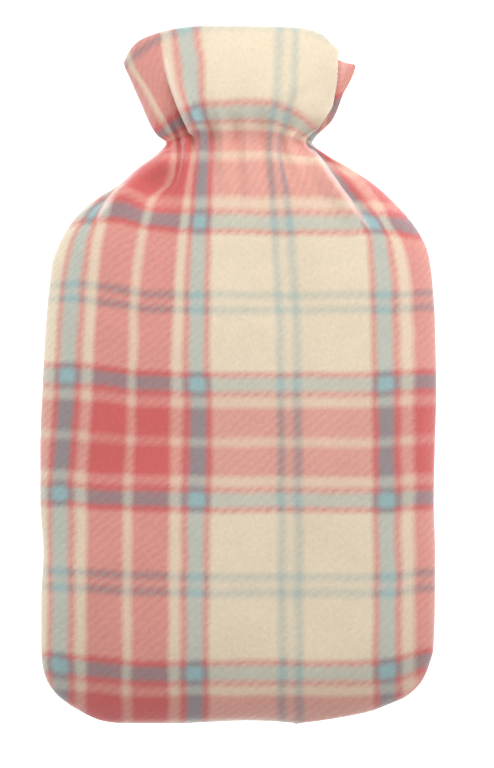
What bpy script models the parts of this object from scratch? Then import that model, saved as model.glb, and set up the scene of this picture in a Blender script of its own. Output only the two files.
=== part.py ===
"""Hot water bottle cover in checked fleece, lying on its back with the mouth toward +Y.

Two cut panels meet edge to edge along a seam that runs up both sides, round the shoulders and through the
neck and ruff, and across the bottom. The mouth stays open and the cover is hollow. The drape of each panel is
read from a short table of cross sections and from tables of folds and soft swellings.
"""
import bpy
import bmesh
import math

MM = 0.001
CLOTH_THICK = 2.2          # mm, one layer of fleece
SEAM_GAP = 0.3             # mm, clear air between the two panels along the seam
BOTTOM_Y = -186.4          # mm, bottom seam
NECK_Y = 124.0             # mm, drawn-in neck
RIM_Y = 186.4              # mm, highest point of the ruff's rim
FRONT_ROUND = 62.0         # mm over which the front rounds up from the bottom seam
BACK_ROUND = 24.0          # mm over which the back rounds down from the bottom seam
COLUMNS = 28               # cloth divisions across a panel

# Cross sections, all in mm. "seam" and "crown" are heights above the surface the cover lies on, "full" is
# how square the front's section is, and "flat" is how square the back's section is.
SECTION_COLUMNS = ("y", "left", "right", "seam", "crown", "full", "flat")
SECTIONS = (
    (-186.4, -74.0, 33.0, 14.0, 35.0, 3.0, 6.0),
    (-185.4, -75.2, 39.5, 14.0, 35.0, 3.0, 6.0),
    (-184.2, -77.4, 46.5, 14.1, 35.0, 3.0, 6.0),
    (-180.0, -84.3, 68.2, 14.3, 35.0, 3.0, 6.0),
    (-175.7, -91.0, 79.5, 14.6, 35.2, 3.0, 6.0),
    (-171.4, -96.4, 88.7, 14.8, 35.4, 3.0, 6.0),
    (-162.9, -102.7, 97.6, 15.2, 35.8, 3.1, 6.0),
    (-154.3, -105.0, 101.7, 15.4, 36.2, 3.2, 6.0),
    (-145.8, -106.0, 104.7, 15.6, 36.6, 3.2, 6.0),
    (-120.2, -106.0, 105.5, 16.2, 37.2, 3.3, 6.5),
    (-94.5, -104.8, 105.6, 15.8, 37.4, 3.3, 6.5),
    (-66.8, -106.5, 104.9, 15.0, 37.2, 3.3, 6.5),
    (-39.0, -106.5, 105.4, 15.6, 37.0, 3.3, 6.5),
    (-9.0, -105.4, 106.2, 16.4, 37.2, 3.3, 6.5),
    (29.4, -103.3, 105.5, 16.2, 37.6, 3.2, 6.5),
    (46.5, -101.7, 104.4, 15.8, 37.8, 3.1, 6.5),
    (59.3, -100.1, 103.0, 15.6, 37.8, 3.0, 6.0),
    (67.8, -97.3, 101.0, 15.6, 37.8, 2.9, 6.0),
    (76.4, -93.0, 96.6, 15.8, 37.6, 2.8, 5.5),
    (84.9, -86.8, 90.2, 16.0, 37.2, 2.7, 5.0),
    (93.5, -77.0, 82.0, 16.2, 36.6, 2.6, 4.5),
    (102.0, -63.5, 72.4, 16.4, 36.0, 2.5, 4.0),
    (110.5, -54.0, 59.4, 16.6, 35.2, 2.4, 4.0),
    (118.0, -44.0, 46.6, 16.8, 34.6, 2.4, 4.0),
    (124.0, -38.9, 39.4, 16.9, 34.4, 2.4, 4.0),
    (129.0, -43.4, 41.6, 16.8, 34.6, 2.4, 4.0),
    (135.5, -46.7, 46.4, 16.4, 35.0, 2.5, 4.2),
    (142.0, -49.0, 50.4, 15.8, 35.4, 2.5, 4.5),
    (153.0, -52.3, 53.8, 14.8, 36.0, 2.5, 4.8),
    (162.0, -55.2, 56.0, 14.2, 36.4, 2.5, 5.0),
    (173.0, -58.6, 60.0, 13.8, 36.6, 2.5, 5.0),
    (182.0, -61.4, 62.4, 13.6, 36.2, 2.5, 5.0),
    (186.4, -61.8, 62.7, 13.6, 35.6, 2.5, 5.0),
)

# How far the rim dips below RIM_Y, by place across: -1 is the left seam, 0 the middle and 1 the right seam.
FRONT_DIP = ((-1.0, 18.2), (-0.95, 13.2), (-0.87, 7.6), (-0.72, 3.2), (-0.58, 0.7), (-0.3, 0.0), (0.3, 0.4),
             (0.5, 0.9), (0.7, 3.4), (0.78, 8.0), (0.86, 17.4), (1.0, 20.4))
BACK_DIP = ((-1.0, 18.2), (-0.9, 14.0), (-0.6, 9.0), (0.0, 6.0), (0.6, 9.0), (0.9, 15.0), (1.0, 20.4))

# How far the front's section is pushed down beside the right seam, where the ruff turns under its tab.
TAB_DROP = ((-1.0, 0.0), (0.55, 0.0), (0.70, 0.6), (0.78, 3.2), (0.86, 8.2), (0.92, 5.4), (0.97, 1.8), (1.0, 0.0))
TAB_START_Y = 128.0        # mm, where the tab begins above the neck
TAB_FULL_Y = 152.0         # mm, where it has its full depth

# Creases of the front panel: height in mm (below zero is a trough), half width in mm and the line it follows.
FOLDS = (
    (3.4, 7.0, ((-39.0, 118.0), (-52.0, 109.0), (-61.0, 101.0), (-70.0, 92.0), (-79.0, 81.0))),
    (-2.6, 5.0, ((-47.0, 121.0), (-60.0, 110.0), (-70.0, 100.0), (-82.0, 88.0))),
    (3.8, 6.5, ((41.0, 119.0), (50.5, 106.0), (60.0, 95.0), (71.3, 84.9), (80.0, 72.0))),
    (-3.2, 6.0, ((45.0, 121.0), (57.0, 108.0), (67.0, 97.0), (79.0, 88.0), (88.0, 76.0))),
    (2.4, 7.0, ((-22.0, 118.0), (-27.0, 100.0), (-34.0, 80.0), (-40.0, 60.0))),
    (2.2, 7.0, ((2.0, 119.0), (1.0, 100.0), (-3.0, 80.0))),
    (2.4, 7.0, ((22.0, 118.0), (27.0, 100.0), (33.0, 80.0), (37.0, 62.0))),
    (2.8, 6.5, ((-28.0, 129.0), (-35.5, 152.0), (-39.0, 163.0), (-41.0, 181.0))),
    (-2.6, 6.5, ((-24.0, 131.0), (-27.0, 146.0), (-29.5, 160.0), (-31.0, 180.0))),
    (2.0, 7.5, ((8.0, 131.0), (14.0, 150.0), (21.0, 143.0), (37.0, 156.0), (46.0, 168.0))),
    (-1.8, 7.0, ((24.0, 131.0), (31.0, 138.0), (42.0, 146.0))),
    (1.8, 8.0, ((-4.0, 130.0), (-6.0, 150.0), (-8.0, 178.0))),
)

# Soft swellings and hollows of the front: place, height in mm and radius in mm.
SWELLINGS = (
    (-62.0, 20.0, 1.6, 40.0),
    (58.0, -28.0, 1.4, 46.0),
    (-48.0, -120.0, 1.2, 42.0),
    (40.0, -118.0, -1.4, 40.0),
    (0.0, 52.0, -1.2, 34.0),
    (70.0, 48.0, 1.4, 30.0),
    (-30.0, -60.0, -1.2, 44.0),
)

SKIN = {"front_panel": (0.72, 0.42, 0.38, 1.0), "back_panel": (0.70, 0.40, 0.36, 1.0)}


def smooth_value(table, place, column=1):
    """Read a table at a place, with smooth joins that never overshoot the listed values."""
    if place <= table[0][0]:
        return table[0][column]
    if place >= table[-1][0]:
        return table[-1][column]
    after = next(i for i in range(1, len(table)) if table[i][0] >= place)

    def slope(i):
        if i <= 0 or i >= len(table) - 1:
            return 0.0
        back = (table[i][column] - table[i - 1][column]) / (table[i][0] - table[i - 1][0])
        ahead = (table[i + 1][column] - table[i][column]) / (table[i + 1][0] - table[i][0])
        if back * ahead <= 0.0:
            return 0.0
        return 2.0 * back * ahead / (back + ahead)

    low, high = table[after - 1], table[after]
    span = high[0] - low[0]
    s = (place - low[0]) / span
    first = (1.0 + 2.0 * s) * (1.0 - s) ** 2 * low[column] + s * (1.0 - s) ** 2 * span * slope(after - 1)
    return first + s * s * (3.0 - 2.0 * s) * high[column] + s * s * (s - 1.0) * span * slope(after)


def section(name, y):
    """Read one column of the cross-section table at a height along the cover."""
    return smooth_value(SECTIONS, y, SECTION_COLUMNS.index(name))


def ease(s):
    s = min(1.0, max(0.0, s))
    return s * s * (3.0 - 2.0 * s)


def rounding(distance, reach, power):
    """0 at the bottom seam, rising steeply and then levelling off at 1 over the reach."""
    left_over = max(0.0, 1.0 - distance / reach)
    return math.sqrt(max(0.0, 1.0 - left_over ** power))


def row_heights():
    """Rows of the cloth: close together at the bottom seam, the neck and the ruff, wide apart on the body."""
    rows = [BOTTOM_Y + d for d in (0.0, 0.5, 1.8, 4.0, 7.2, 11.5, 17.0, 24.0, 33.0, 44.0)]
    while rows[-1] < 40.0:
        rows.append(rows[-1] + 13.0)
    start = rows[-1]
    steps = 9
    rows += [start + (104.0 - start) * i / steps for i in range(1, steps + 1)]
    steps = 18
    rows += [104.0 + (RIM_Y - 104.0) * i / steps for i in range(1, steps + 1)]
    return rows


def fold_height(x, y):
    """Sum of the creases and swellings at a place on the front."""
    total = 0.0
    for height, width, line in FOLDS:
        lengths = [math.dist(line[i], line[i + 1]) for i in range(len(line) - 1)]
        whole = sum(lengths)
        nearest, along, passed = 1e9, 0.0, 0.0
        for i, length in enumerate(lengths):
            ax, ay = line[i]
            bx, by = line[i + 1]
            s = ((x - ax) * (bx - ax) + (y - ay) * (by - ay)) / length ** 2
            s = min(1.0, max(0.0, s))
            away = math.hypot(x - ax - s * (bx - ax), y - ay - s * (by - ay))
            if away < nearest:
                nearest, along = away, (passed + s * length) / whole
            passed += length
        fade = ease((1.0 - along) / 0.45) * ease(0.35 + along / 0.2)
        total += height * fade * math.exp(-(nearest / width) ** 2)
    for px, py, height, radius in SWELLINGS:
        total += height * math.exp(-((x - px) ** 2 + (y - py) ** 2) / radius ** 2)
    return total


def drape(across, y, is_front):
    """Where one spot of a flat panel comes to lie. across runs from -1 to 1 and y up the cover, in mm."""
    left, right = section("left", y), section("right", y)
    x = 0.5 * (left + right) + 0.5 * (right - left) * across
    seam = section("seam", y)
    ruff = max(0.0, (y - NECK_Y) / (RIM_Y - NECK_Y))
    distance = y - BOTTOM_Y
    if is_front:
        crown = section("crown", y) - seam
        crown *= rounding(distance, FRONT_ROUND, 3.0)
        profile = math.sqrt(max(0.0, 1.0 - abs(across) ** section("full", y)))
        z = seam + SEAM_GAP / 2 + crown * profile
        lie_y = y - ruff * smooth_value(FRONT_DIP, across)
        tab = ease((y - TAB_START_Y) / (TAB_FULL_Y - TAB_START_Y))
        z -= tab * smooth_value(TAB_DROP, across)
        inside = ease((1.0 - abs(across)) / 0.12) * ease(distance / 20.0)
        z += inside * fold_height(x, lie_y)
    else:
        drop = 1.05 * (seam - SEAM_GAP / 2) * rounding(distance, BACK_ROUND, 3.0)
        profile = math.sqrt(max(0.0, 1.0 - abs(across) ** section("flat", y)))
        z = max(0.0, seam - SEAM_GAP / 2 - drop * profile)
        lie_y = y - ruff * smooth_value(BACK_DIP, across)
    return x * MM, lie_y * MM, z * MM


def make_material(name, colour):
    material = bpy.data.materials.new(name)
    material.use_nodes = True
    shader = material.node_tree.nodes["Principled BSDF"]
    shader.inputs["Base Color"].default_value = colour
    shader.inputs["Roughness"].default_value = 0.95
    return material


def make_panel(name, is_front):
    """One panel: a flat grid of cloth, draped, then given its thickness inward with the edges closed."""
    rows = row_heights()
    bm = bmesh.new()
    bmesh.ops.create_grid(bm, x_segments=COLUMNS, y_segments=len(rows) - 1, size=1.0)
    sewn = {vert for vert in bm.verts if abs(vert.co.x) > 0.999 or vert.co.y < -0.999}
    for vert in bm.verts:
        row = round((vert.co.y + 1.0) * 0.5 * (len(rows) - 1))
        bunch = rounding(rows[row] - BOTTOM_Y, BACK_ROUND, 3.0)
        across = (1.0 - bunch) * vert.co.x + bunch * math.sin(vert.co.x * math.pi / 2)
        vert.co = drape(across, rows[row], is_front)
    if not is_front:
        bmesh.ops.reverse_faces(bm, faces=bm.faces)
    bm.normal_update()

    outer = list(bm.verts)
    rim_corners = [(edge.link_loops[0].vert, edge.link_loops[0].link_loop_next.vert)
                   for edge in bm.edges if edge.is_boundary]
    inward = {}
    for vert in outer:
        direction = vert.normal.copy()
        if vert in sewn:
            direction.z = 0.0
            direction.normalize()
        inward[vert] = direction * CLOTH_THICK * MM
    copied = bmesh.ops.duplicate(bm, geom=outer + bm.edges[:] + bm.faces[:])
    twin = copied["vert_map"]
    inner_faces = [item for item in copied["geom"] if isinstance(item, bmesh.types.BMFace)]
    for vert in outer:
        twin[vert].co = vert.co - inward[vert]
    bmesh.ops.reverse_faces(bm, faces=inner_faces)
    for first, second in rim_corners:
        bm.faces.new((second, first, twin[first], twin[second]))

    mesh = bpy.data.meshes.new(name)
    bm.to_mesh(mesh)
    bm.free()
    for polygon in mesh.polygons:
        polygon.use_smooth = True
    mesh.materials.append(make_material(name + "_fleece", SKIN[name]))
    panel = bpy.data.objects.new(name, mesh)
    bpy.context.collection.objects.link(panel)
    return panel


for old in list(bpy.data.objects):
    bpy.data.objects.remove(old, do_unlink=True)

make_panel("front_panel", True)
make_panel("back_panel", False)
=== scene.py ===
"""Fleece hot water bottle cover, lying on its back with its mouth toward +Y, as a Blender add-on.

The cover is two cut panels of checked fleece, sewn edge to edge round the sides and bottom and up through
the neck and ruff. Each panel is a flat grid of cloth that is draped row by row, hemmed at the rim, given its
listed pleats and gathers, and thickened.
"""
import math
from collections import namedtuple

import bmesh
import bpy
import numpy as np
from bpy.props import FloatProperty, FloatVectorProperty, IntProperty, PointerProperty
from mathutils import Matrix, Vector


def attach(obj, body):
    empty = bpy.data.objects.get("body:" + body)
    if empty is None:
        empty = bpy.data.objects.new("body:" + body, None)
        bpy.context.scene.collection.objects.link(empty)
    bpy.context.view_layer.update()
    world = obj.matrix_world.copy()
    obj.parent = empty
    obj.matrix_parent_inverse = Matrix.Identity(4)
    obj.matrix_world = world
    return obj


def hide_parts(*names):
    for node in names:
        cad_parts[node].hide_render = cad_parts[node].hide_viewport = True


bl_info = {
    "name": "Checked Fleece Bottle Cover",
    "version": (1, 0, 0),
    "blender": (4, 5, 0),
    "location": "View3D > Sidebar > Bottle Cover",
    "description": "Builds a fleece hot water bottle cover with a gathered neck and a flared ruff",
    "category": "Object",
}

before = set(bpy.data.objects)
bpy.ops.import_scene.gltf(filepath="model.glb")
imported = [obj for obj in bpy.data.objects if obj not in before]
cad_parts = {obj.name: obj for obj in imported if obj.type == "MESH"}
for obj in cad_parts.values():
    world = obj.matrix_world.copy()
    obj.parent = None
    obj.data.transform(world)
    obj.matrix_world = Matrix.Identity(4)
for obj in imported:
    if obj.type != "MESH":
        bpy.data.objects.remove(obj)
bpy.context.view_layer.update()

MM = 0.001
SEAM_GAP = 0.3             # mm between the sewn edges of the two panels
BOTTOM_Y = -186.4
NECK_Y = 124.0
RIM_Y = 186.4
FRONT_ROUND = 62.0         # mm from the bottom seam over which the front rises
BACK_ROUND = 24.0          # mm from the bottom seam over which the back falls
BACK_PRESS = 1.05          # how far the back would hang, in seam heights, but for the surface under it
FOLD_EDGE = 0.10           # share of half the width over which folds fade out at a side seam
FOLD_FOOT = 20.0           # mm over which folds fade out at the bottom seam
LIFT_REACH = 40.0          # mm over which the bottom seam's lift runs out

ROW_STEP = 1.75            # mm between rows of the cloth on the body
FINE_ROW_STEP = 1.2        # mm between rows from the shoulders up
FINE_FROM_Y = 58.0
FOOT_CROWDING = 8.0        # mm over which the rows open out from the foot

STITCH_PITCH = 5.2         # mm between puckers along a seam
PUCKER = 0.3               # share of the roll that a pucker adds or takes
ROLL_HEIGHT = 1.3          # mm over and under the seam that are drawn in with it
ROLL_FADE = 14.0           # mm below the mouth over which the roll runs out
FOOT_ROLL = 6.0            # mm of the foot that are drawn in with the bottom seam

HEM_ROUND = 1.05           # radius of the rim's fold in thicknesses of the cloth
HEM_SIDEWAYS = 0.03        # share of half the width, beside a side seam, where the hem turns sideways
HEM_SLIM = 0.14            # share of half the width over which the fold is slimmer toward a side seam
TRIM = 0.7                 # share of its thickness that the edge loses at the mouth
TRIM_EDGE = 0.025          # share of half the width that is trimmed
TRIM_ROWS = 16             # rows below the rim where the trimming starts

BACK_FULLNESS = 0.34       # how much more cloth the back's neck holds than its width
BACK_FULL_REACH = 34.0     # mm along the cloth over which that fullness runs out
NECK_GROOVE = 4.6          # mm that the neck is drawn in
GROOVE_UP = 12.0
GROOVE_DOWN = 8.0
TAB_START_Y = 125.0        # where the ruff begins to turn under its tab
TAB_FULL_Y = 144.0
CLOTH_SPAN = 500.0         # mm of flat cloth that one unit of the cloth map stands for

CAMERA_X = 4.5
CAMERA_Y = -4.8
SEAM_HEIGHT = 16.0         # mm over the surface, where the view's height is measured
LEFT_FILL = 0.7            # power of the left fill light as a share of the right one's

# Cross sections in mm: seam and crown are heights over the surface, full and flat say how square the sides
# of the front and the back are.
SECTION_COLUMNS = ("y", "left", "right", "seam", "crown", "full", "flat")
SECTIONS = (
    (-186.4, -74, 33, 14, 35, 3, 6),
    (-185.4, -76.4, 40.4, 14, 35, 3, 6),
    (-184.2, -79.6, 48.2, 14.1, 35, 3, 6),
    (-180, -87.2, 69.8, 14.3, 35, 3, 6),
    (-175.7, -93.3, 81.3, 14.6, 35.2, 3, 6),
    (-171.4, -98, 90.6, 14.8, 35.4, 3, 6),
    (-162.9, -103.3, 98.9, 15.2, 35.8, 3.1, 6),
    (-154.3, -105.4, 102.5, 15.4, 36.2, 3.2, 6),
    (-145.8, -106, 104.7, 15.6, 36.6, 3.2, 6),
    (-120.2, -106, 105.5, 16.2, 37.2, 3.3, 6.5),
    (-94.5, -104.8, 105.6, 15.8, 37.4, 3.3, 6.5),
    (-66.8, -106.5, 104.9, 15, 37.2, 3.3, 6.5),
    (-39, -106.5, 105.4, 15.6, 37, 3.3, 6.5),
    (-9, -105.4, 106.2, 16.4, 37.2, 3.3, 6.5),
    (29.4, -103.3, 105.5, 16.2, 37.6, 3.2, 6.5),
    (46.5, -101.7, 104.4, 15.8, 37.8, 3.1, 6.5),
    (59.3, -100.1, 103, 15.6, 37.8, 3, 6),
    (67.8, -97.3, 101, 15.6, 37.8, 2.9, 6),
    (76.4, -93, 96.6, 15.8, 37.6, 2.8, 5.5),
    (84.9, -86.8, 90.2, 16, 37.2, 2.7, 5),
    (93.5, -77, 82, 16.2, 36.6, 2.6, 4.5),
    (102, -63.5, 72.4, 16.4, 36, 2.5, 4),
    (110.5, -54, 59.4, 16.6, 35.2, 2.4, 4),
    (118, -44, 46.6, 16.8, 34.6, 2.4, 4),
    (124, -38.9, 39.4, 16.9, 34.4, 2.4, 4),
    (129, -43.4, 41.6, 16.8, 34.8, 2.4, 4),
    (135.5, -46.7, 46.4, 16.4, 35.6, 2.5, 4.2),
    (142, -49, 50.4, 15.8, 36.6, 2.5, 4.5),
    (153, -52.3, 53.8, 14.8, 37.4, 2.5, 4.8),
    (162, -55.2, 56, 14.2, 37.2, 2.5, 5),
    (173, -58.6, 60, 13.8, 36.2, 2.5, 5),
    (182, -61.4, 62.4, 13.6, 34.8, 2.5, 5),
    (186.4, -61.8, 62.7, 13.6, 34, 2.5, 5),
)

# How far the rim dips below its highest point, from the left seam (-1) to the right seam (1).
FRONT_DIP = ((-1, 18.2), (-0.95, 13.4), (-0.87, 8.2), (-0.72, 4.2), (-0.58, 1.9), (-0.45, 0.7), (-0.3, 0),
             (0.3, 0.4), (0.5, 1), (0.7, 4.2), (0.78, 9.2), (0.86, 18.2), (0.93, 19.8), (1, 20.4))
BACK_DIP = ((-1, 18.2), (-0.9, 14.4), (-0.6, 9.4), (0, 6), (0.5, 9), (0.7, 13), (0.84, 19.4), (0.92, 21.2),
            (1, 20.4))

# How far the bottom seam is pulled up off a straight line, from the left seam to the right seam.
FOOT_LIFT = ((-1, 1.6), (-0.94, 0.6), (-0.8, 0), (-0.3, 0), (0.1, 0.8), (0.45, 1.5), (0.7, 1.1), (0.95, 0),
             (1, 0))

# How far the front is pushed down beside the right seam, where the ruff turns under its tab.
TAB_DROP = ((-1, 0), (0.78, 0), (0.86, 1.2), (0.90, 4.4), (0.93, 5.6), (0.96, 4.6), (0.98, 3.4),
            (0.992, 2.1), (1, 0))

# Overlapping pleats of the front: which side dives under (-1 left, 1 right), height of the lip, depth of the
# dive, how far the lip leans over it, the width, how many times wider the dive is on its open side, over
# what shares of its line the pleat starts and ends, how strong a highlight is painted along its crest and
# from what share on, and the line from the neck outward, in mm.
Pleat = namedtuple("Pleat", "low_side lip dive lean width spread start end pale pale_from line")
PLEATS = (
    Pleat(-1, 4, 3.4, 1.4, 5.2, 1.8, 0.15, 0.50, 0.70, 0.64,
          ((-36, 124), (-40.5, 119), (-47.3, 114.8), (-54.2, 108.9), (-59, 104.1), (-63.3, 99.9),
           (-67, 95.6), (-71.3, 90.8), (-74.5, 87), (-78, 80))),
    Pleat(1, 3.2, 2.2, 1.2, 5, 1.6, 0.12, 0.45, 0.50, 0.05,
          ((38, 122), (42.7, 115.9), (45.7, 112.1), (47.8, 108.4), (51, 104.1), (54.5, 98.8),
           (57.9, 94.5), (61.4, 89.7), (67, 83), (73, 76))),
    Pleat(-1, 3.2, 6, 2.6, 4.6, 4.6, 0.06, 0.92, 0.45, 0.00,
          ((-23.4, 127), (-26.2, 133), (-28.4, 137.2), (-31.9, 144.2), (-34.2, 149.5), (-36.2, 154.9),
           (-38.8, 164), (-40.2, 172))),
    Pleat(1, 0.6, 1.2, 2.2, 3.8, 1, 0.30, 0.02, 0, 0,
          ((38.4, 126), (42.4, 132), (48.6, 144.2), (50.8, 156.5), (51.4, 168.2), (51, 190))),
    Pleat(1, 0.6, 0.9, 0.2, 9, 1.5, 0.30, 0.50, 0, 0,
          ((12, 128), (21.1, 143.6), (37.1, 156.5), (46, 168))),
)

# Gathers at the neck, in mm: place across the flat cloth, height, width, reach up the ruff and down the body.
Gather = namedtuple("Gather", "place height width up down")
GATHERS = (
    Gather(-66, 2.1, 4.2, 15, 22),
    Gather(-52, -3.4, 4.6, 18, 30),
    Gather(-43.5, 2.6, 3.8, 26, 34),
    Gather(-33.5, -2.3, 3.2, 16, 28),
    Gather(-25.5, 2.9, 3.6, 24, 42),
    Gather(-16.5, -2.9, 3.2, 17, 30),
    Gather(-8, 2.3, 3.4, 30, 32),
    Gather(0.5, -2.6, 3, 16, 26),
    Gather(8.5, 3, 3.6, 24, 46),
    Gather(17.5, -2.6, 3.2, 19, 30),
    Gather(27, 2.6, 3.8, 26, 36),
    Gather(36.5, -2.6, 3.4, 22, 26),
    Gather(46, 2.4, 4, 20, 26),
    Gather(57, -1.5, 4, 16, 18),
    Gather(68, 2.3, 4.4, 14, 24),
)

# Soft swellings and hollows of the front, in mm: place, height and radius.
SWELLINGS = (
    (-62, 20, 1.6, 40),
    (58, -28, 1.4, 46),
    (-48, -120, 1.2, 42),
    (40, -118, -1.4, 40),
    (0, 52, -1.2, 34),
    (70, 48, 1.4, 30),
    (-30, -60, -1.2, 44),
    (-43, 97, -6, 11.5),
    (58, 86, 2, 24),
)

def route(places, crossings):
    """A line of the cloth: the places that it passes and where it crosses each."""
    return tuple(zip(places, crossings))


# Where chosen warp lines lie on the front, in mm: place across the flat cloth, then (y, x) spots.
LEFT_EDGE_ROWS = (-186, -129, -66, -15, 5, 47, 71.6, 77.4, 83.8, 87, 91.3, 96, 100, 112, 124, 135, 144.2,
                  154.9, 165.5, 190)
LEFT_RUFF_ROWS = (-186, -26.7, 47, 92.9, 124, 129, 137.2, 144.2, 149.5, 154.9, 164, 176, 190)
WARP_LINES = (
    (-98.7, route(LEFT_EDGE_ROWS,
        (-99.2, -99.1, -99.3, -95.7, -94.9, -92.2, -86.8, -84.2, -80.4, -78.6, -74.5, -71.1, -67.4, -63,
         -60, -76, -84.5, -91, -97, -104))),
    (-94.5, route(LEFT_EDGE_ROWS,
        (-95, -95, -95.3, -91.7, -91, -88.4, -83.8, -81.5, -78.6, -77.1, -73.9, -70.6, -66.8, -61.4,
         -58.4, -72, -80.5, -87, -93, -100))),
    (-90.4, route(LEFT_EDGE_ROWS,
        (-91, -91, -91.2, -87.8, -87, -84.6, -80.8, -78.9, -76.8, -75.6, -73.2, -70, -66.2, -59.4, -55.8,
         -68.2, -76.6, -83, -89, -96))),
    (-83.3, ((-186, -84), (-129, -83.9), (-66, -83.9), (-15, -81), (5, -80.2), (47, -78), (71.6, -75.2),
        (77.4, -73.9), (82, -73.2), (87, -71.8), (91.3, -70.6), (95.6, -68.1), (99.9, -64.6),
        (112, -56.6), (124, -52.5), (135, -62.6), (144.2, -70), (154.9, -76.4), (165.5, -82.4),
        (190, -89.4))),
    (-58.6, ((-186, -59.5), (-129, -59.3), (-80, -58.8), (-26.7, -57.2), (47, -54.8), (75.3, -51),
        (86, -48.2), (91.3, -46.8), (95.6, -44), (98.5, -40.4), (101, -37.4), (104, -35.6), (108, -34.4),
        (117, -33.6), (124, -34), (128.5, -35.6), (133.5, -38.4), (138.8, -41.4), (144.2, -44.6),
        (149.5, -47.5), (154.9, -51), (160.2, -54.7), (165.5, -57.2), (175, -60), (190, -64))),
    (-39.4, route(LEFT_RUFF_ROWS,
        (-39.8, -39, -36.4, -31.4, -26.6, -27.6, -31.4, -35.2, -37.4, -39.3, -41, -42.2, -42.8))),
    (-36.6, route(LEFT_RUFF_ROWS,
        (-37, -36.1, -33.6, -29.2, -25, -25.6, -29.4, -33, -35.2, -37.2, -39.2, -40.8, -41.6))),
    (-22.7, ((-186, -23.6), (-129, -23.2), (-80, -22.6), (-26.7, -21.2), (24, -22.6), (92, -20.6),
        (124, -18.8), (138.8, -22.8), (144.2, -24.4), (149.5, -25.4), (160, -25.9), (165.5, -25.9),
        (176, -28), (190, -29.4))),
    (28.3, ((-186, 27.6), (-129, 27.4), (-26.7, 26.8), (24, 26), (92, 22), (124, 19.6), (139, 22.2),
        (147, 24.4), (165, 25.4), (180, 26.6), (190, 27))),
    (58, ((-186, 58), (-26.7, 57.4), (30, 56.8), (71, 54.6), (92, 47.6), (112, 37), (124, 31.6),
        (132, 41), (144.2, 47.4), (156.5, 50.2), (168.2, 51), (190, 50.8))),
    (70, ((-186, 69.8), (-26.7, 69.4), (30, 68.6), (71, 66.6), (81.7, 63.6), (89.7, 60), (98.8, 53.6),
        (108.4, 47), (115.9, 42), (124, 35.4), (132, 42.2), (144.2, 48.4), (156.5, 50.8), (168.2, 51.6),
        (190, 51.4))),
    (79.6, ((-186, 79.6), (-129, 79.5), (-6.4, 78.4), (29.9, 77.6), (71, 75.6), (77, 73.6), (82.2, 70.6),
        (86, 66.9), (89.7, 63.4), (94.5, 59.6), (98.8, 56.2), (104.1, 52.6), (108.4, 49.2), (112.1, 47),
        (115.9, 44.2), (124, 37), (132, 43), (144.2, 49), (156.5, 51.2), (168.2, 52), (190, 51.8))),
    (85.6, ((-186, 85.4), (-129, 85.2), (-6.4, 84.2), (29.9, 83.4), (54.5, 82.6), (71, 80), (77, 77.6),
        (82.2, 74.8), (89.7, 68.8), (94.5, 64.9), (98.8, 61.2), (104.1, 57.6), (108.4, 53.2),
        (112.1, 50.4), (115.9, 47.4), (124, 39.6), (132, 44), (138, 46.8), (144.2, 49.8), (156.5, 51.6),
        (168.2, 52.4), (190, 52.2))),
    (90.7, ((-186, 90.3), (-129, 90), (13.4, 89.7), (54.5, 87.6), (71, 83.6), (80.1, 78.4), (86, 75.7),
        (89.7, 74.5), (94.5, 71.4), (98.8, 67.6), (104.1, 63.8), (108.4, 59.6), (112.1, 56.2), (124, 42),
        (132, 45.2), (138, 47.8), (144.2, 50.6), (156.5, 52), (168.2, 52.8), (190, 52.6))),
    (98, ((-186, 98.8), (-129, 98.6), (13.4, 98.2), (54.5, 95.4), (71, 90.8), (80.1, 84.8),
        (89.7, 80.6), (98.8, 74), (108.4, 66), (115.9, 56), (124, 44.4), (132, 47), (144.2, 51.8),
        (156.5, 52.8), (168.2, 53.6), (190, 53.4))),
)

# Where chosen weft lines lie on the front, in mm: place along the flat cloth, then (x, y) spots.
RUFF_COLUMNS = (-58, -48, -41.9, -37.6, -33, -27.5, -21.6, 0, 17.5, 27.5, 32.8, 38.2, 43, 47, 52, 60)
WEFT_LINES = (
    (-153.3, ((-100, -154.6), (-95, -155.4), (-76, -157), (-47, -159.4), (-22, -158.6), (30, -158.9),
        (62, -158.6), (80, -157.8), (90, -155.6), (100, -152))),
    (-107.5, ((-95, -108.6), (-66, -109.8), (-47, -110.8), (-22, -111.3), (14, -111.5), (80, -111.6),
        (100, -109.6))),
    (-62.2, ((-95, -63.3), (-76, -65.2), (-47, -66.2), (-22, -66.6), (30, -66.6), (60, -67), (80, -66.6),
        (100, -65.4))),
    (0, ((-91, 0.4), (-76, -1.1), (-66, -2.1), (-47, -4.2), (-22, -4.8), (30, -5.1), (60, -4.8),
        (80, -4.2), (100, -3.7))),
    (45.8, ((-90, 44.8), (-66, 42.4), (-47, 39.2), (0, 38.6), (50, 38.8), (80, 38.6), (100, 41))),
    (91.3, ((-100, 84), (-76, 88), (-66, 88), (-47, 83.4), (-20, 81.6), (20, 80.6), (49, 81), (71, 81.2),
        (80, 80.8), (100, 77.4))),
    (101.2, ((-70, 98.6), (-61.1, 99), (-56.9, 97.4), (-52.6, 94.8), (-48.3, 92.9), (-40, 92), (0, 91.4),
        (40, 91.4), (52, 91), (64, 90.6), (80, 90))),
    (122.3, ((-60, 112.6), (-43.5, 117), (0, 117.4), (42.5, 114.6), (60, 108))),
    (153.3, route(RUFF_COLUMNS,
        (119, 123.2, 126.4, 129.4, 132.4, 135.6, 137.6, 139, 138.4, 135, 132.2, 128, 125.6, 128, 143.6,
         145))),
    (158.8, route(RUFF_COLUMNS,
        (125, 129.2, 132.4, 135.4, 138.4, 141.4, 143.4, 145, 144.4, 141, 138.2, 133.8, 130.8, 133.6,
         148.4, 150))),
    (194.6, ((-62, 164.6), (-56.3, 169.3), (-42, 178.9), (-36, 181.6), (-28, 184.4), (-20, 185.8),
        (30, 185.8), (50, 178.5), (60, 168.5))),
)
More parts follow.
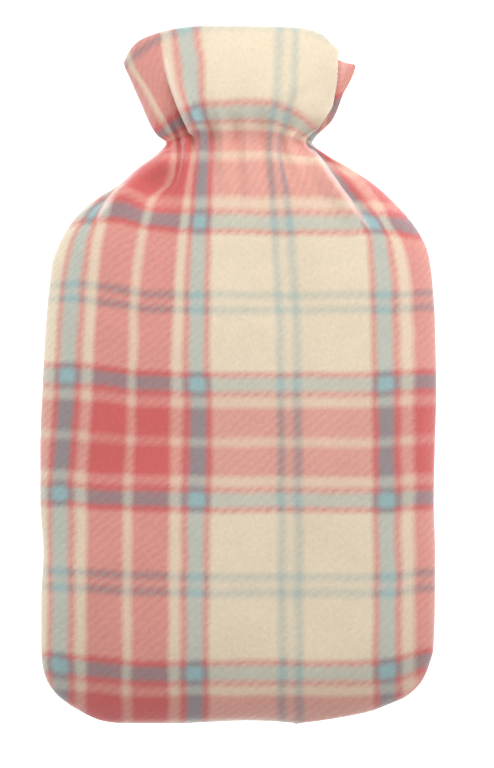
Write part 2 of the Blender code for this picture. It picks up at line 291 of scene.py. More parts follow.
NECK_LINE = ((-60, 112), (-39, 123.5), (0, 125), (39, 123.5), (60, 112))

# The sett, charted from the fine pale line in the middle of a red block to the middle of the pale block next
# to it. Each stripe is its yarn, its width in mm, how clearly it shows, because its neighbours' nap blurs a
# fine stripe, and how much the twill breaks it up. The chart is mirrored at both ends and so repeats.
WARP_SETT = (("cream", 2.4, 0.72, 0.25), ("red", 19.3, 1, 0.16), ("cream", 6.1, 0.86, 0.20),
             ("red", 4, 0.85, 0.24), ("mint", 8.3, 1, 0.16), ("red", 3.5, 0.80, 0.24),
             ("cream", 36.7, 1, 0.15), ("mint", 4.3, 0.68, 0.35), ("cream", 2.4, 0.90, 0.20))
WEFT_SETT = (("cream", 2.4, 0.58, 0.40), ("red", 16, 1, 0.16), ("cream", 5.4, 0.74, 0.24),
             ("red", 3.5, 0.85, 0.52), ("mint", 7.4, 1, 0.17), ("red", 3.2, 0.90, 0.50),
             ("cream", 32.3, 1, 0.15), ("mint", 4.3, 0.72, 0.42), ("cream", 2.1, 0.90, 0.30))
WARP_MIDDLE = -58.6        # mm, a mirror line of the warp chart, in the middle of a red block
WEFT_MIDDLE = -31.0        # mm, the same for the weft
YARNS = ("red", "cream", "mint")

PANEL_NODES = {"front": "front_panel", "back": "back_panel"}


def linear(*srgb):
    """A screen colour, 0 to 255, as the linear values that a shader takes."""
    parts = [c / 255.0 for c in srgb]
    return tuple(c / 12.92 if c <= 0.04045 else ((c + 0.055) / 1.055) ** 2.4 for c in parts) + (1.0,)


def ease(s):
    """0 to 1 with a soft start and a soft end."""
    s = np.clip(s, 0.0, 1.0)
    return s * s * (3.0 - 2.0 * s)


def bump(place, middle, reach):
    """1 at the middle, falling softly away on both sides."""
    return np.exp(-((place - middle) / reach) ** 2)


def smooth_values(table, places, column=1):
    """Read a table at many places, with smooth joins that never overshoot the listed values."""
    at = np.array([row[0] for row in table])
    value = np.array([row[column] for row in table])
    span = np.diff(at)
    rise = np.diff(value) / span
    slope = np.zeros(len(at))
    same = rise[:-1] * rise[1:] > 0.0
    slope[1:-1][same] = (2.0 * rise[:-1] * rise[1:])[same] / (rise[:-1] + rise[1:])[same]
    places = np.clip(places, at[0], at[-1])
    i = np.clip(np.searchsorted(at, places) - 1, 0, len(at) - 2)
    s = (places - at[i]) / span[i]
    start = (1.0 + 2.0 * s) * (1.0 - s) ** 2 * value[i] + s * (1.0 - s) ** 2 * span[i] * slope[i]
    return start + s * s * (3.0 - 2.0 * s) * value[i + 1] + s * s * (s - 1.0) * span[i] * slope[i + 1]


def section(name, y):
    """One measure of the cross sections, read at many places along the cover."""
    return smooth_values(SECTIONS, y, SECTION_COLUMNS.index(name))


def rounding(distance, reach):
    """0 at the bottom seam, rising steeply and then levelling off at 1 over the reach."""
    return np.sqrt(np.clip(1.0 - np.clip(1.0 - distance / reach, 0.0, 1.0) ** 3.0, 0.0, 1.0))


def cloth_rows(hem_radius):
    """Rows along the cloth: packed close at the bottom seam, then even, and finer from the shoulders up."""
    top = RIM_Y - hem_radius
    run = np.arange(0.0, 260.0, ROW_STEP)
    low = BOTTOM_Y + run - FOOT_CROWDING * (1.0 - np.exp(-run / FOOT_CROWDING))
    low = low[low < FINE_FROM_Y]
    high = np.linspace(low[-1], top, int((top - low[-1]) / FINE_ROW_STEP) + 1)[1:]
    return np.concatenate([low, high])


def line_distance(line, x, y):
    """Distance to a drawn line, above 0 on its +X side, the share of it passed, and the way to that side."""
    best = np.full(x.shape, 1e9)
    side = np.zeros(x.shape)
    along = np.zeros(x.shape)
    way = np.zeros(x.shape + (2,))
    lengths = [math.dist(line[i], line[i + 1]) for i in range(len(line) - 1)]
    whole, passed = sum(lengths), 0.0
    for i, length in enumerate(lengths):
        ax, ay = line[i]
        dx, dy = (line[i + 1][0] - ax) / length, (line[i + 1][1] - ay) / length
        s = np.clip((x - ax) * dx + (y - ay) * dy, 0.0, length)
        gap = np.hypot(x - ax - s * dx, y - ay - s * dy)
        near = gap < best
        best[near] = gap[near]
        side[near] = np.sign((x - ax) * abs(dy) - (y - ay) * dx * np.sign(dy))[near]
        along[near] = ((passed + s) / whole)[near]
        way[near] = (abs(dy), -dx * np.sign(dy))
        passed += length
    return best * side, along, way


def unrolled(flat, height, start):
    """Places along rows of a draped surface, lengthened by its rise and fall away from a starting column."""
    step = np.diff(flat, axis=1)
    arc = np.hypot(step, np.diff(height, axis=1))
    total = np.concatenate([np.zeros((flat.shape[0], 1)), np.cumsum(arc, axis=1)], axis=1)
    total -= total[:, start:start + 1]
    return total + flat[:, start:start + 1]


def read_lines(lines, place, cross, height, start):
    """The flat cloth's measure at each spot, from drawn lines and the true length of cloth between them."""
    true = unrolled(place, height, start)
    drawn = np.empty((len(lines),) + place.shape)
    for k, (_, spots) in enumerate(lines):
        at = smooth_values(spots, cross)
        for i in range(place.shape[0]):
            drawn[k, i] = np.interp(at[i], place[i], true[i])
            under, over = at[i] < place[i, 0], at[i] > place[i, -1]
            drawn[k, i][under] = true[i, 0] + (at[i] - place[i, 0])[under]
            drawn[k, i][over] = true[i, -1] + (at[i] - place[i, -1])[over]
    marks = np.array([line[0] for line in lines])
    result = marks[0] + (true - drawn[0])
    for k in range(len(lines) - 1):
        share = (true - drawn[k]) / np.maximum(drawn[k + 1] - drawn[k], 0.4)
        inside = true >= drawn[k]
        result[inside] = (marks[k] + share * (marks[k + 1] - marks[k]))[inside]
    beyond = true >= drawn[-1]
    result[beyond] = (marks[-1] + true - drawn[-1])[beyond]
    return result


class Cloth:
    """A panel as rows and columns of spots in mm: where each spot lies and its place on the flat cloth."""

    def __init__(self, across, x, y, z, inside):
        self.across = across      # -1 at the left seam to 1 at the right seam
        self.x, self.y, self.z = x, y, z
        self.inside = inside      # 0 on the sewn edges, 1 away from them
        self.warp = self.weft = None
        self.crest = np.zeros(x.shape)           # how much highlight is painted along the crest of a pleat
        self.source = np.arange(x.shape[0])      # the outer row that each row is folded with

    def spots(self):
        return np.stack([self.x, self.y, self.z], axis=-1)

    def facing(self, into):
        """Unit vectors pointing through the cloth: into is 1 to point down through the front, -1 up."""
        spots = self.spots()
        normal = np.cross(np.gradient(spots, axis=0), np.gradient(spots, axis=1)) * into
        return normal / np.maximum(np.linalg.norm(normal, axis=-1, keepdims=True), 1e-9)

    def add_rows(self, rows):
        """Carry the cloth on by rows, each with its spots, place along the flat cloth and outer row."""
        extra = np.stack([row[0] for row in rows])
        self.x = np.vstack([self.x, extra[..., 0]])
        self.y = np.vstack([self.y, extra[..., 1]])
        self.z = np.vstack([self.z, extra[..., 2]])
        self.weft = np.vstack([self.weft] + [row[1] for row in rows])
        self.source = np.append(self.source, [row[2] for row in rows])
        for name in ("warp", "across", "inside", "crest"):
            value = getattr(self, name)
            setattr(self, name, np.vstack([value] + [value[-1]] * len(rows)))


def drape(face, rows, columns, seam_roll):
    """Lay one flat panel in place, before its folds, its gathers and its hem."""
    even = np.linspace(-1.0, 1.0, columns + 1)
    crowded = 0.45 * even + 0.55 * np.sin(even * math.pi / 2)      # closer together toward the seams
    y, crowded = np.meshgrid(rows, crowded, indexing="ij")
    distance = y - BOTTOM_Y
    t = even + rounding(distance, BACK_ROUND) * (crowded - even)
    left, right = section("left", y), section("right", y)
    x = 0.5 * (left + right) + 0.5 * (right - left) * t
    seam = section("seam", y)
    ruff = np.clip((y - NECK_Y) / (RIM_Y - NECK_Y), 0.0, 1.0)
    lift = smooth_values(FOOT_LIFT, t) * (1.0 - ease(distance / LIFT_REACH))
    inside = ease((1.0 - np.abs(t)) / FOLD_EDGE) * ease(distance / FOLD_FOOT)
    middle_column, middle_row = columns // 2, int(np.argmin(np.abs(rows)))
    if face == "front":
        crown = (section("crown", y) - seam) * rounding(distance, FRONT_ROUND)
        z = seam + SEAM_GAP / 2 + crown * np.sqrt(np.clip(1.0 - np.abs(t) ** section("full", y), 0.0, 1.0))
        lie = y + lift - ruff * smooth_values(FRONT_DIP, t)
        for px, py, height, radius in SWELLINGS:
            z += inside * height * np.exp(-((x - px) ** 2 + (lie - py) ** 2) / radius ** 2)
        cloth = Cloth(t, x, lie, z, inside)
        cloth.warp = read_lines(WARP_LINES, x, lie, z, middle_column)
    else:
        drop = BACK_PRESS * (seam - SEAM_GAP / 2) * rounding(distance, BACK_ROUND)
        z = seam - SEAM_GAP / 2 - drop * np.sqrt(np.clip(1.0 - np.abs(t) ** section("flat", y), 0.0, 1.0))
        lie = y + lift - ruff * smooth_values(BACK_DIP, t)
        cloth = Cloth(t, x, lie, np.maximum(z, 0.0), inside)
        drawn_in = 1.0 + BACK_FULLNESS * bump(lie, NECK_Y, BACK_FULL_REACH)
        cloth.warp = unrolled(x, z, middle_column) * drawn_in
    cloth.weft = read_lines(WEFT_LINES, lie.T, x.T, cloth.z.T, middle_row).T
    roll_seams(cloth, y, seam, 0.5 * (left + right), seam_roll)
    return cloth


def roll_seams(cloth, row_y, seam, centre, seam_roll):
    """Draw the sewn edges in a little, with a pucker at every few stitches, and not at all at the mouth."""
    near = bump(cloth.z, seam, ROLL_HEIGHT)
    pucker = 1.0 + PUCKER * np.sin(row_y * 2.0 * math.pi / STITCH_PITCH)
    at_side = ease((np.abs(cloth.across) - 0.8) / 0.15) * ease((RIM_Y - row_y) / ROLL_FADE)
    cloth.x = cloth.x - np.sign(cloth.x - centre) * seam_roll * pucker * near * at_side
    at_foot = ease((FOOT_ROLL + BOTTOM_Y - row_y) / FOOT_ROLL) * ease((1.0 - np.abs(cloth.across)) / 0.1)
    cloth.y = cloth.y + seam_roll * near * at_foot


def turn_hem(cloth, radius, depth, into):
    """Carry the cloth on over the rim and down inside, so the rim is a folded hem.

    The inner layer lies through the cloth from the outer one. Beside a side seam it lies sideways from it
    instead, and near the level of the seam, so that the two panels' hems stay clear of each other.
    """
    spots, facing = cloth.spots(), cloth.facing(into)
    from_seam = 1.0 - np.abs(cloth.across)
    free = ease(from_seam / HEM_SIDEWAYS)
    flat = np.zeros(cloth.x.shape)
    sideways = np.stack([-np.sign(cloth.across), flat, flat], axis=-1)
    facing = free[..., None] * facing + (1.0 - free[..., None]) * sideways
    facing /= np.linalg.norm(facing, axis=-1, keepdims=True)
    full = (0.75 + 0.25 * ease(from_seam / HEM_SLIM))[..., None] * radius
    inward = facing * full
    seam_z = np.where(cloth.across < 0.0, cloth.z[:, :1], cloth.z[:, -1:])
    to_seam = 0.25 * (seam_z - cloth.z)        # the whole fold is twice this, half the way to the seam
    inward[..., 2] = free * inward[..., 2] + (1.0 - free) * to_seam
    rim_way = np.gradient(spots[-1], axis=0)
    rim_way /= np.linalg.norm(rim_way, axis=-1, keepdims=True)
    up = spots[-1] - spots[-3]
    up -= rim_way * (up * rim_way).sum(axis=-1, keepdims=True)
    up /= np.linalg.norm(up, axis=-1, keepdims=True)
    rows, last = [], len(spots) - 1
    for turn in np.linspace(0.0, math.pi, 8)[1:]:
        spot = spots[-1] + up * full[-1] * math.sin(turn) + inward[-1] * (1.0 - math.cos(turn))
        rows.append((spot, cloth.weft[-1] + radius * turn, last))
    back = np.cumsum(np.linalg.norm(spots[-2:-14:-1] - spots[-1:-13:-1], axis=-1).mean(axis=1))
    for step in range(1, len(back), 2):
        if back[step] < depth:
            spot = spots[-2 - step] + inward[-2 - step] * 2.0
            rows.append((spot, cloth.weft[-1] + radius * math.pi + back[step], last - 1 - step))
    cloth.add_rows(rows)


def fold_pleats(cloth):
    """Press the tab and the overlapping pleats in: each lip leans over a dive in the cloth beside it."""
    tab = ease((cloth.y[cloth.source] - TAB_START_Y) / (TAB_FULL_Y - TAB_START_Y))
    cloth.z = cloth.z - tab * smooth_values(TAB_DROP, cloth.across)
    for pleat in PLEATS:
        gap, along, way = line_distance(pleat.line, cloth.x[cloth.source], cloth.y[cloth.source])
        p = gap * pleat.low_side / pleat.width      # the lip's crest lies near -0.5, the dive near 0.4
        fade = cloth.inside * ease(along / pleat.start) * ease((1.0 - along) / pleat.end)
        lip_width = np.where(p < -0.50, 1.15, 0.62)
        lip = bump(p, -0.50, lip_width)
        dive_width = np.where(p > 0.42, 0.36 * pleat.spread, 0.36)
        dive = bump(p, 0.42, dive_width)
        cloth.z = cloth.z + fade * (pleat.lip * lip - pleat.dive * dive)
        lean = bump(p, -0.12, 0.34) - bump(p, 0.46, 0.30)
        shift = pleat.low_side * pleat.lean * fade * lean
        cloth.x = cloth.x + shift * way[..., 0]
        cloth.y = cloth.y + shift * way[..., 1]
        # Painted highlight: a pale mask along each lip's crest, which the fleece mixes into its colour.
        highlight_fade = cloth.inside * ease((along - pleat.pale_from) / 0.15) * ease((1.0 - along) / 0.15)
        cloth.crest = np.maximum(cloth.crest, pleat.pale * highlight_fade * bump(p, -0.24, 0.19))


def gather_neck(cloth, side):
    """Gathers that run with the warp out of the neck, and the soft groove where the neck is drawn in."""
    above = cloth.y - smooth_values(NECK_LINE, cloth.x)
    for gather in GATHERS:
        reach = np.where(above > 0.0, ease(1.0 - above / gather.up), ease(1.0 + above / gather.down))
        ridge = bump(cloth.warp * side, gather.place, gather.width)
        cloth.z = cloth.z + side * cloth.inside * reach * gather.height * ridge
    width = np.where(above > 0.0, GROOVE_UP, GROOVE_DOWN)
    cloth.z = cloth.z - side * cloth.inside * NECK_GROOVE * bump(above, 0.0, width)


def trimmed_edge(cloth):
    """How much of its full thickness the cloth keeps: the seam's edges are trimmed thin at the mouth."""
    row = np.arange(len(cloth.x))[:, None]
    at_mouth = ease((row - cloth.source.max() + TRIM_ROWS) / 6.0)
    at_edge = 1.0 - ease((1.0 - np.abs(cloth.across)) / TRIM_EDGE)
    return 1.0 - TRIM * at_mouth * at_edge


def link_mesh(name, bm):
    mesh = bpy.data.meshes.new(name)
    bm.to_mesh(mesh)
    bm.free()
    piece = bpy.data.objects.new(name, mesh)
    bpy.context.scene.collection.objects.link(piece)
    return piece


def make_panel(face, settings):
    """One panel of the cover, with its cloth map, its hem and its thickness."""
    side = 1.0 if face == "front" else -1.0
    columns = settings.columns
    radius = settings.thickness / MM * HEM_ROUND
    cloth = drape(face, cloth_rows(radius), columns, settings.seam_roll / MM)
    turn_hem(cloth, radius, settings.hem / MM, side)
    if face == "front":
        fold_pleats(cloth)
    gather_neck(cloth, side)
    if face == "back":
        cloth.z = np.maximum(cloth.z, 0.0)
    spots = cloth.spots() * MM
    cloth_place = 0.5 + np.stack([cloth.warp, cloth.weft], axis=-1) / CLOTH_SPAN
    count = spots.shape[0] - 1
    bm = bmesh.new()
    bmesh.ops.create_grid(bm, x_segments=columns, y_segments=count, size=1.0)
    # The crest layer carries the mask of the highlight painted along the pleats' crests.
    crest = bm.verts.layers.float.new("crest")
    kept, weights = trimmed_edge(cloth), bm.verts.layers.deform.verify()
    cell = {}
    for vert in bm.verts:
        cell[vert] = (round((vert.co.y + 1.0) * 0.5 * count), round((vert.co.x + 1.0) * 0.5 * columns))
        vert.co = spots[cell[vert]]
        vert[crest] = cloth.crest[cell[vert]]
        vert[weights][0] = kept[cell[vert]]
    cloth_map = bm.loops.layers.uv.new("cloth")
    for quad in bm.faces:
        quad.smooth = True
        for corner in quad.loops:
            corner[cloth_map].uv = cloth_place[cell[corner.vert]]
    if face == "back":
        bmesh.ops.reverse_faces(bm, faces=bm.faces)
    piece = link_mesh(PANEL_NODES[face] + "_cloth", bm)
    piece.data.materials.append(bpy.data.materials["check_fleece"])
    piece.data.materials.append(bpy.data.materials["fleece_reverse"])
    piece.vertex_groups.new(name="thickness kept")
    thick = piece.modifiers.new("cloth thickness", "SOLIDIFY")
    thick.vertex_group = "thickness kept"
    thick.thickness = settings.thickness
    thick.offset = -1.0
    thick.use_quality_normals = True
    thick.material_offset = 1
    return piece


# ---------------------------------------------------------------- materials

class NodeBench:
    """Short calls for placing and joining nodes in one tree."""

    def __init__(self, tree):
        self.tree = tree
        self.count = 0

    def put(self, kind, label="", **settings):
        node = self.tree.nodes.new(kind)
        node.location = (180 * (self.count % 9), -220 * (self.count // 9))
        node.label = label
        self.count += 1
        for name, value in settings.items():
            setattr(node, name, value)
        return node

    def feed(self, socket, value):
        if isinstance(value, bpy.types.NodeSocket):
            self.tree.links.new(value, socket)
        elif value is not None:
            socket.default_value = value

    def math(self, operation, first, second=None, label=""):
        node = self.put("ShaderNodeMath", label, operation=operation)
        self.feed(node.inputs[0], first)
        self.feed(node.inputs[1], second)
        return node.outputs[0]

    def vector(self, operation, first, second=None, scale=None, label=""):
        node = self.put("ShaderNodeVectorMath", label, operation=operation)
        self.feed(node.inputs[0], first)
        self.feed(node.inputs[1], second)
        if scale is not None:
            self.feed(node.inputs["Scale"], scale)
        return node.outputs["Vector"]

    def noise(self, place, scale, detail=2.0, roughness=0.5, label=""):
        node = self.put("ShaderNodeTexNoise", label)
        self.feed(node.inputs["Vector"], place)
        set_inputs(node, {"Scale": scale, "Detail": detail, "Roughness": roughness})
        return node

    def parts(self, vector):
        node = self.put("ShaderNodeSeparateXYZ")
        self.feed(node.inputs[0], vector)
        return node.outputs

    def add_noises(self, *noises):
        """The sum of some noises, each times its share."""
        total = None
        for noise, share in noises:
            part = self.math("MULTIPLY", noise.outputs["Fac"], share)
            total = part if total is None else self.math("ADD", total, part)
        return total


def set_inputs(node, values):
    for title, value in values.items():
        node.inputs[title].default_value = value


def start_material(name):
    material = bpy.data.materials.new(name)
    material.use_nodes = True
    return material, material.node_tree.nodes["Principled BSDF"]


def new_group(name, takes, gives):
    group = bpy.data.node_groups.new(name, "ShaderNodeTree")
    for title, kind, value in takes:
        socket = group.interface.new_socket(title, in_out="INPUT", socket_type="NodeSocket" + kind)
        if value is not None:
            socket.default_value = value
    for title, kind in gives:
        group.interface.new_socket(title, in_out="OUTPUT", socket_type="NodeSocket" + kind)
    bench = NodeBench(group)
    return group, bench, bench.put("NodeGroupInput").outputs, bench.put("NodeGroupOutput").inputs


def stripe_masks(sett):
    """How much red, cream and mint each stripe of a sett shows, and how much the twill breaks it up."""
    pure = [np.array([float(stripe[0] == name) for name in YARNS]) for stripe in sett]
    masks = []
    for i, (_, _, clear, broken) in enumerate(sett):
        beside = [pure[j] for j in (i - 1, i + 1) if 0 <= j < len(sett)]
        mask = clear * pure[i] + (1.0 - clear) * sum(beside) / len(beside)
        masks.append(tuple(mask) + (broken,))
    return masks


def roll_mask(bench, mask):
    """The mask with each yarn's share moved one place on, so that it meets the next yarn's."""
    parts = bench.parts(mask)
    rolled = bench.put("ShaderNodeCombineXYZ")
    for to_axis, from_axis in zip("XYZ", "YZX"):
        bench.feed(rolled.inputs[to_axis], parts[from_axis])
    return rolled.outputs[0]


def blend_three(bench, mask, colours):
    """Three colours added up by the three shares of a mask."""
    parts, total = bench.parts(mask), None
    for axis, colour in zip("XYZ", colours):
        part = bench.vector("SCALE", colour[:3], scale=parts[axis])
        total = part if total is None else bench.vector("ADD", total, part)
    return total


def chart_stripes(bench, place, sett, soft, label):
    """A mirrored, repeating yarn chart: its colour is how much red, cream and mint, its alpha how broken."""
    masks = stripe_masks(sett)
    whole = sum(stripe[1] for stripe in sett)
    fold = bench.math("PINGPONG", place, whole, label=label + " mirrored")
    ramp = bench.put("ShaderNodeValToRGB", label + " chart")
    bench.feed(ramp.inputs["Fac"], bench.math("DIVIDE", fold, whole))
    stops = ramp.color_ramp.elements
    stops[0].color = masks[0]
    stops[1].color = masks[-1]
    edge = 0.0
    for i, stripe in enumerate(sett[:-1]):
        edge += stripe[1]
        stops.new((edge - soft) / whole).color = masks[i]
        stops.new((edge + soft) / whole).color = masks[i + 1]
    return ramp.outputs["Color"], ramp.outputs["Alpha"]


def make_check_group(settings):
    """The woven check: crossings of warp and weft yarns with the slanting twill between them."""
    group, bench, take, give = new_group(
        "woven_check", (("Cloth map", "Vector", None), ("Twill depth", "Float", 0.16)),
        (("Color", "Color"), ("Twill", "Float")))
    centred = bench.vector("SUBTRACT", take["Cloth map"], (0.5, 0.5, 0.0))
    place = bench.vector("SCALE", centred, scale=CLOTH_SPAN, label="mm of flat cloth")
    stray = bench.noise(place, 0.9, 2.0, 0.6, "fibres straying over an edge")
    drift = bench.noise(place, 0.045, 1.0, 0.5, "lines not quite straight")
    moved = place
    for wander in (stray, drift):
        shift = bench.vector("SUBTRACT", wander.outputs["Color"], (0.5, 0.5, 0.5))
        moved = bench.vector("ADD", moved, bench.vector("SCALE", shift, scale=2.2))
    spot = bench.parts(moved)
    pitch = settings.twill_pitch / MM
    turn = bench.math("SUBTRACT", bench.math("DIVIDE", spot["X"], pitch),
                      bench.math("DIVIDE", spot["Y"], pitch * 0.88))
    patchy = bench.noise(place, 0.16, 2.0, 0.5, "twill stronger in places")
    turn = bench.math("ADD", turn, bench.math("MULTIPLY", patchy.outputs["Fac"], 0.8))
    wave = bench.math("SINE", bench.math("MULTIPLY", turn, 2.0 * math.pi), label="twill slant")
    wave = bench.math("MULTIPLY", wave, bench.math("MULTIPLY", patchy.outputs["Fac"], 2.0))
    step = bench.math("MULTIPLY", wave, settings.twill_step / MM)
    across = bench.math("ADD", bench.math("SUBTRACT", spot["X"], WARP_MIDDLE), step)
    along = bench.math("ADD", bench.math("SUBTRACT", spot["Y"], WEFT_MIDDLE), step)
    warp, warp_broken = chart_stripes(bench, across, WARP_SETT, settings.stripe_blur / MM, "warp")
    weft, weft_broken = chart_stripes(bench, along, WEFT_SETT, settings.stripe_blur / MM, "weft")

    same = bench.vector("MULTIPLY", warp, weft, label="both yarns alike")
    mixed = bench.vector("ADD", bench.vector("MULTIPLY", roll_mask(bench, warp), weft),
                         bench.vector("MULTIPLY", roll_mask(bench, weft), warp), label="two yarns crossing")
    pure = [tuple(settings.red), tuple(settings.cream), tuple(settings.mint)]
    crossed = [tuple(settings.red_on_cream), tuple(settings.cream_on_mint), tuple(settings.mint_on_red)]
    cloth = bench.vector("ADD", blend_three(bench, same, pure), blend_three(bench, mixed, crossed))

    lean = bench.vector("SUBTRACT", blend_three(bench, weft, pure), blend_three(bench, warp, pure))
    broken = bench.math("MULTIPLY", bench.math("MAXIMUM", warp_broken, weft_broken), take["Twill depth"])
    face_side = bench.math("SUBTRACT", bench.math("MULTIPLY", wave, broken), settings.warp_lead)
    lean = bench.vector("SCALE", lean, scale=face_side)
    bench.feed(give["Color"], bench.vector("MAXIMUM", bench.vector("ADD", cloth, lean), (0.0, 0.0, 0.0)))
    bench.feed(give["Twill"], wave)
    return group


def make_nap_group():
    """The brushed nap: patches lying different ways, clumps of fibre and single fibre tips."""
    group, bench, take, give = new_group(
        "brushed_nap", (("Place", "Vector", None),), (("Shade", "Float"), ("Height", "Float")))
    place = take["Place"]
    patch = bench.noise(place, 38.0, 2.0, 0.5, "patches")
    clump = bench.noise(place, 420.0, 3.0, 0.6, "clumps")
    tip = bench.noise(place, 1500.0, 2.0, 0.6, "tips")
    stretched = bench.vector("MULTIPLY", place, (1400.0, 520.0, 900.0))
    fibres = bench.noise(stretched, 1.0, 2.0, 0.5, "combed fibres")
    shade = bench.add_noises((patch, 0.14), (clump, 0.16), (fibres, 0.12))
    bench.feed(give["Shade"], bench.math("ADD", shade, 0.78))
    bench.feed(give["Height"], bench.add_noises((clump, 0.55), (tip, 0.25), (fibres, 0.3)))
    return group


def make_fleece(name, check, nap, settings, paler):
    """Fleece with the check showing through its nap; the reverse is the same, paler."""
    material, shader = start_material(name)
    bench = NodeBench(material.node_tree)
    cloth = bench.put("ShaderNodeUVMap", "cloth map", uv_map="cloth")
    where = bench.put("ShaderNodeTexCoord", "place on the cover")
    weave = bench.put("ShaderNodeGroup", "check", node_tree=check)
    bench.feed(weave.inputs["Cloth map"], cloth.outputs["UV"])
    bench.feed(weave.inputs["Twill depth"], settings.twill_depth * (0.5 if paler else 1.0))
    brushed = bench.put("ShaderNodeGroup", "nap", node_tree=nap)
    bench.feed(brushed.inputs["Place"], where.outputs["Object"])
    colour = weave.outputs["Color"]
    if paler:
        fade = bench.put("ShaderNodeMix", "reverse is paler", data_type="RGBA")
        bench.feed(fade.inputs["Factor"], 0.35)
        bench.feed(fade.inputs["A"], colour)
        bench.feed(fade.inputs["B"], settings.cream)
        colour = fade.outputs["Result"]
    # Painted highlight: the colour is mixed toward a pale tint along the pleats' crests.
    crest = bench.put("ShaderNodeAttribute", "crests of the pleats", attribute_name="crest")
    highlighted = bench.put("ShaderNodeMix", "mixes in the highlight painted on the crests", data_type="RGBA")
    bench.feed(highlighted.inputs["Factor"], crest.outputs["Fac"])
    bench.feed(highlighted.inputs["A"], colour)
    bench.feed(highlighted.inputs["B"], settings.crest_highlight_colour)
    shaded = bench.vector("SCALE", highlighted.outputs["Result"], scale=brushed.outputs["Shade"])
    bench.feed(shader.inputs["Base Color"], shaded)
    set_inputs(shader, {"Roughness": 0.95, "Specular IOR Level": 0.15,
                        "Sheen Weight": settings.sheen, "Sheen Roughness": 0.46})
    relief = bench.put("ShaderNodeBump")
    set_inputs(relief, {"Strength": 0.55, "Distance": settings.nap_height})
    twill = bench.math("MULTIPLY", weave.outputs["Twill"], 0.10)
    bench.feed(relief.inputs["Height"], bench.math("ADD", brushed.outputs["Height"], twill))
    bench.feed(shader.inputs["Normal"], relief.outputs["Normal"])


# ---------------------------------------------------------------- settings

class BottleCoverSettings(bpy.types.PropertyGroup):
    thickness: FloatProperty(
        name="Cloth thickness", description="Thickness of one layer of fleece", default=2.2 * MM,
        unit="LENGTH")
    hem: FloatProperty(
        name="Hem depth", description="How far the rim is turned down inside", default=11.0 * MM,
        unit="LENGTH")
    seam_roll: FloatProperty(
        name="Seam roll", description="How far the sewn edges are drawn in", default=1.5 * MM,
        unit="LENGTH")
    columns: IntProperty(name="Columns", description="Divisions across a panel", default=168)
    nap_height: FloatProperty(
        name="Nap height", description="Depth of the brushed surface", default=0.7 * MM, unit="LENGTH")
    sheen: FloatProperty(
        name="Sheen", description="Pale light caught by fibres seen edge on", default=1.0, subtype="FACTOR")
    twill_pitch: FloatProperty(
        name="Twill pitch", description="Spacing of the slanting weave", default=5.9 * MM, unit="LENGTH")
    twill_depth: FloatProperty(
        name="Twill depth", description="Strength of the slanting weave in a thin stripe", default=0.20,
        subtype="FACTOR")
    twill_step: FloatProperty(
        name="Twill step", description="How far the twill breaks up an edge", default=0.14 * MM,
        unit="LENGTH")
    warp_lead: FloatProperty(
        name="Warp lead", description="How much more the warp shows than the weft", default=0.052,
        subtype="FACTOR")
    stripe_blur: FloatProperty(
        name="Stripe blur", description="Softness of a stripe's edge in the nap", default=1.55 * MM,
        unit="LENGTH")
    red: FloatVectorProperty(
        name="Red", description="Red yarn crossing red yarn", subtype="COLOR", size=4,
        default=linear(205, 98, 96))
    cream: FloatVectorProperty(
        name="Cream", description="Cream yarn crossing cream yarn", subtype="COLOR", size=4,
        default=linear(225, 209, 183))
    mint: FloatVectorProperty(
        name="Mint", description="Mint yarn crossing mint yarn", subtype="COLOR", size=4,
        default=linear(148, 178, 180))
    red_on_cream: FloatVectorProperty(
        name="Red on cream", description="Red and cream yarns crossing", subtype="COLOR", size=4,
        default=linear(216, 152, 140))
    cream_on_mint: FloatVectorProperty(
        name="Cream on mint", description="Cream and mint yarns crossing", subtype="COLOR", size=4,
        default=linear(191, 191, 177))
    # The colour of the highlight painted along the pleats' crests.
    crest_highlight_colour: FloatVectorProperty(
        name="Crest highlight", description="Colour of the highlight painted along the pleats' crests", subtype="COLOR", size=4,
        default=linear(248, 228, 220))
    mint_on_red: FloatVectorProperty(
        name="Mint on red", description="Mint and red yarns crossing", subtype="COLOR", size=4,
        default=linear(152, 132, 134))


class BottleCoverStage(bpy.types.PropertyGroup):
    key_power: FloatProperty(
        name="Key light", description="Power of the broad light beyond the mouth", default=10.0,
        unit="POWER")
    fill_power: FloatProperty(
        name="Fill lights", description="Power of the soft light at the right", default=3.0, unit="POWER")
    ruff_power: FloatProperty(
        name="Ruff light", description="Power of the small light beyond the mouth", default=1.5,
        unit="POWER")
    room_light: FloatProperty(name="Room light", description="Strength of the even light", default=0.47)
    camera_height: FloatProperty(
        name="Camera height", description="Height of the camera", default=4.0, unit="LENGTH")
    field: FloatProperty(
        name="Field", description="Height of the view at the seam", default=0.4101, unit="LENGTH")


# ---------------------------------------------------------------- operators

class COVER_OT_materials(bpy.types.Operator):
    """Make the checked fleece and its paler reverse"""
    bl_idname = "cover.materials"
    bl_label = "Make fleece"

    def execute(self, context):
        settings = context.scene.bottle_cover
        check = make_check_group(settings)
        nap = make_nap_group()
        make_fleece("check_fleece", check, nap, settings, False)
        make_fleece("fleece_reverse", check, nap, settings, True)
        return {"FINISHED"}


class COVER_OT_panels(bpy.types.Operator):
    """Drape, hem and thicken the front and back panels"""
    bl_idname = "cover.panels"
    bl_label = "Sew panels"

    def execute(self, context):
        settings = context.scene.bottle_cover
        for face, node in PANEL_NODES.items():
            piece = make_panel(face, settings)
            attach(piece, "root")
            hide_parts(node)
        return {"FINISHED"}


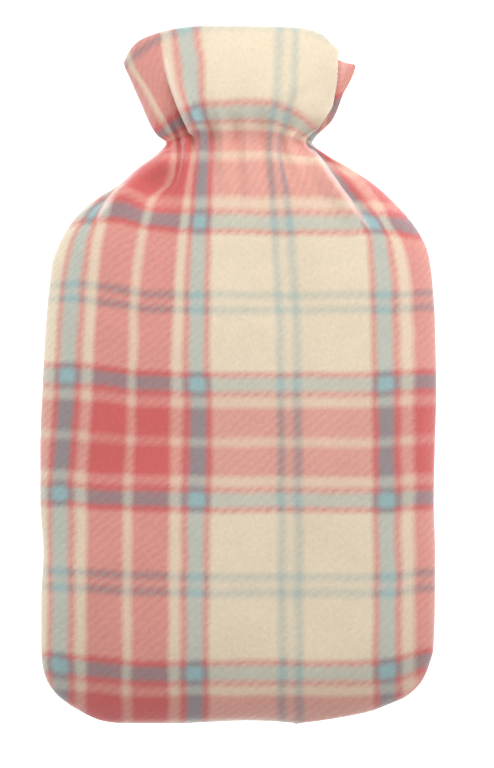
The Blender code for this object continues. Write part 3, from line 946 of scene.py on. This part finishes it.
class COVER_OT_stage(bpy.types.Operator):
    """Lay down the pale floor and set the lights and the camera"""
    bl_idname = "cover.stage"
    bl_label = "Set stage"

    def execute(self, context):
        settings = context.scene.bottle_cover_stage
        bm = bmesh.new()
        bmesh.ops.create_grid(bm, x_segments=1, y_segments=1, size=2.0)
        floor = link_mesh("floor", bm)
        paper, shader = start_material("floor_paper")
        set_inputs(shader, {"Base Color": (0.10, 0.10, 0.10, 1.0), "Roughness": 0.9,
                            "Emission Color": (1.0, 1.0, 1.0, 1.0), "Emission Strength": 1.5})
        floor.data.materials.append(paper)

        world = bpy.data.worlds.new("room")
        world.use_nodes = True
        set_inputs(world.node_tree.nodes["Background"],
                   {"Color": (1.0, 1.0, 1.0, 1.0), "Strength": settings.room_light})
        context.scene.world = world
        self.add_light("key", settings.key_power, 1.2, (0.0, 1.40, 1.60))
        self.add_light("right fill", settings.fill_power, 0.6, (0.75, 0.30, 0.60))
        self.add_light("left fill", settings.fill_power * LEFT_FILL, 0.6, (-0.75, 0.30, 0.60))
        self.add_light("ruff light", settings.ruff_power, 0.3, (0.10, 0.55, 0.50))

        camera = bpy.data.objects.new("camera", bpy.data.cameras.new("camera"))
        camera.location = (CAMERA_X * MM, CAMERA_Y * MM, settings.camera_height)
        camera.data.sensor_fit = "AUTO"
        camera.data.sensor_width = 36.0
        to_seam = settings.camera_height - SEAM_HEIGHT * MM
        camera.data.lens = camera.data.sensor_width * to_seam / settings.field
        camera.data.clip_start = 0.05
        context.scene.collection.objects.link(camera)
        context.scene.camera = camera
        context.scene.view_settings.view_transform = "Standard"
        return {"FINISHED"}

    def add_light(self, name, power, size, place):
        data = bpy.data.lights.new(name, "AREA")
        data.energy = power
        data.shape = "SQUARE"
        data.size = size
        light = bpy.data.objects.new(name, data)
        light.location = place
        light.rotation_euler = (Vector((0.0, 0.0, 0.02)) - Vector(place)).to_track_quat("-Z", "Y").to_euler()
        bpy.context.scene.collection.objects.link(light)


class COVER_PT_sidebar(bpy.types.Panel):
    bl_label = "Bottle Cover"
    bl_idname = "COVER_PT_sidebar"
    bl_space_type = "VIEW_3D"
    bl_region_type = "UI"
    bl_category = "Bottle Cover"

    def draw(self, context):
        for group in (context.scene.bottle_cover, context.scene.bottle_cover_stage):
            for name in group.__annotations__:
                self.layout.prop(group, name)
        for operator in OPERATORS:
            self.layout.operator(operator.bl_idname)


OPERATORS = (COVER_OT_materials, COVER_OT_panels, COVER_OT_stage)
CLASSES = (BottleCoverSettings, BottleCoverStage) + OPERATORS + (COVER_PT_sidebar,)


def register():
    for item in CLASSES:
        bpy.utils.register_class(item)
    bpy.types.Scene.bottle_cover = PointerProperty(type=BottleCoverSettings)
    bpy.types.Scene.bottle_cover_stage = PointerProperty(type=BottleCoverStage)


def unregister():
    del bpy.types.Scene.bottle_cover_stage
    del bpy.types.Scene.bottle_cover
    for item in reversed(CLASSES):
        bpy.utils.unregister_class(item)


def main():
    register()
    bpy.ops.cover.materials()
    bpy.ops.cover.panels()
    bpy.ops.cover.stage()


if __name__ == "__main__":
    main()
